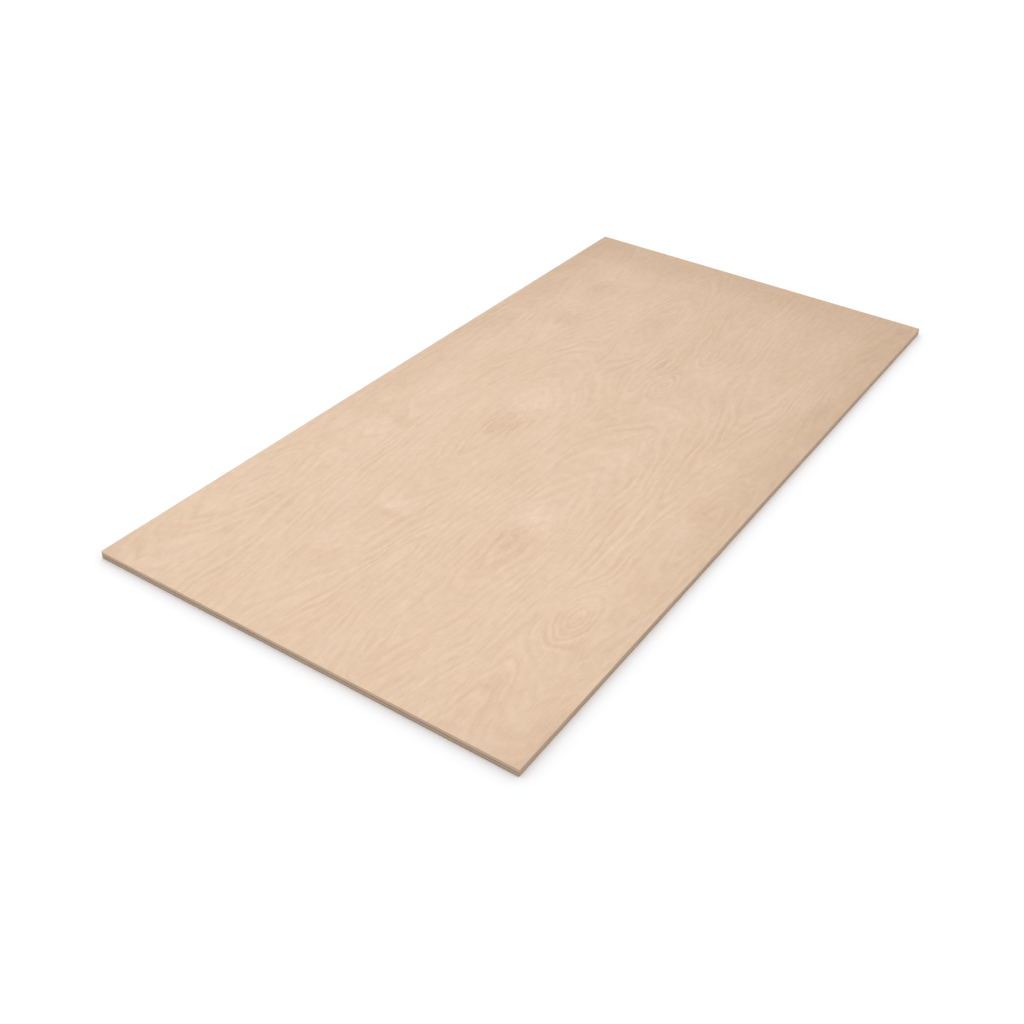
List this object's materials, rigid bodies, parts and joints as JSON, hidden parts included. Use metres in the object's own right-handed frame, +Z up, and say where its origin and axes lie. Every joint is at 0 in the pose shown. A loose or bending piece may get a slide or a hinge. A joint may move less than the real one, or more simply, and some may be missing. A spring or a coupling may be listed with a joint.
{
  "type": "plywood sheet",
  "caption": "Flat rectangular plywood sheet of cross-laminated wood plies, with a figured rotary-cut face and square sawn edges that show the layers.",
  "frame": {"origin": "centre of the sheet's underside", "axes": "+Y along the sheet's length and its face grain, +X across its width, +Z up through its thickness"},
  "size_m": [1.22, 2.44, 0.021],
  "materials": {
    "face_veneer": "satin",
    "back_veneer": "satin",
    "long_ply": "matte",
    "cross_ply": "matte"
  },
  "bodies": {
    "root": {"face_ply": "face_veneer", "upper_crossband": "cross_ply", "core_ply": "long_ply", "lower_crossband": "cross_ply", "back_ply": "back_veneer"}
  },
  "joints": []
}
